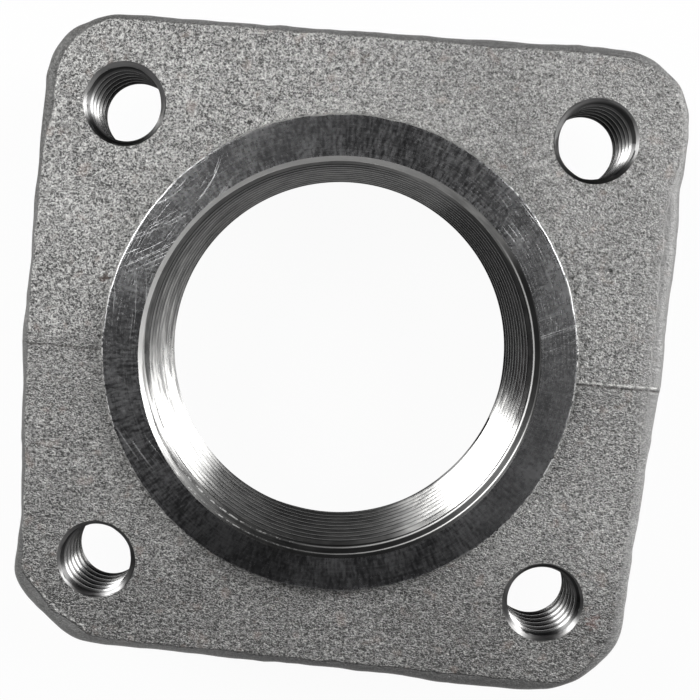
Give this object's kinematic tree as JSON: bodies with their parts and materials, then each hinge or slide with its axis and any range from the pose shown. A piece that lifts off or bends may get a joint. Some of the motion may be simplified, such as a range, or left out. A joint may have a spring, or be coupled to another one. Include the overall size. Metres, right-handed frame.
{
  "type": "threaded flange",
  "caption": "Square cast iron flange with rounded corners, a threaded bore inside a low faced ring and a threaded hole near each corner, with a round hub behind",
  "frame": {"origin": "centre of the bore in the plane of the hub's faced end, on which the part rests", "axes": "+Z along the bore axis towards the faced ring, +X and +Y along the sides of the square plate, with the mould's parting plane at y = 0"},
  "size_m": [0.096, 0.096, 0.025],
  "materials": {
    "iron": "grainy bare casting, turned bright on the ring and in the bore"
  },
  "bodies": {
    "root": {"flange": "iron"}
  },
  "joints": []
}
